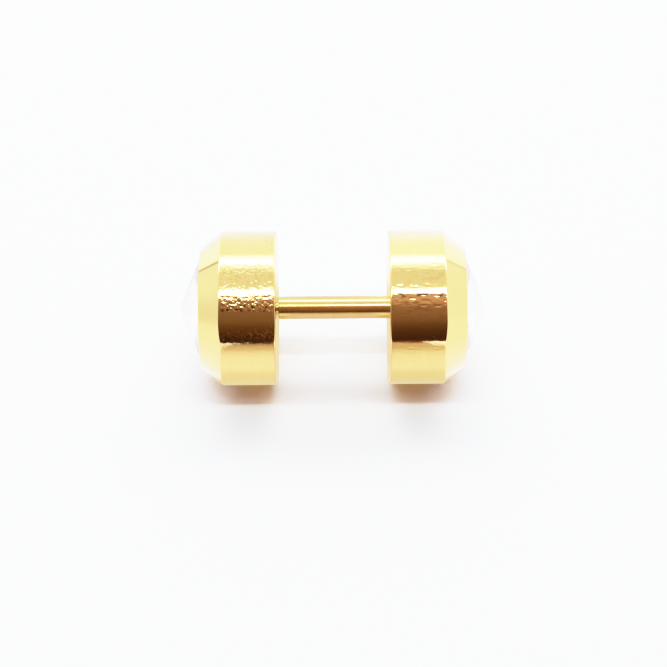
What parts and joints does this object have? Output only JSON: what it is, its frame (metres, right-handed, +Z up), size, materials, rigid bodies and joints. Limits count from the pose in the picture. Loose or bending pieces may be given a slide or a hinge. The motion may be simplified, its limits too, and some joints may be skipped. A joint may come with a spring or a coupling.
{
  "type": "double-sided earring",
  "caption": "Screw-together barbell ear stud: a thin post with a round bevelled metal head and a pointed clear stone at each end, lying on its heads.",
  "frame": {"origin": "centre of the bounding box's bottom, on the surface that both heads rest on, below the middle of the post", "axes": "+X along the post towards the fixed head, +Z up"},
  "size_m": [0.0156, 0.008, 0.008],
  "materials": {
    "gold_plated_steel": "surgical steel, gold plated and polished",
    "clear_stone": "clear faceted crystal"
  },
  "bodies": {
    "stud": {"ear_post": "gold_plated_steel", "fixed_head": "gold_plated_steel", "fixed_stone": "clear_stone"},
    "screw_end": {"screw_head": "gold_plated_steel", "screw_stone": "clear_stone"}
  },
  "joints": [
    {"name": "head_slide", "type": "slide", "parent": "stud", "child": "screw_end", "axis": [-1, 0, 0], "range_m": [0, 0.012]}
  ]
}
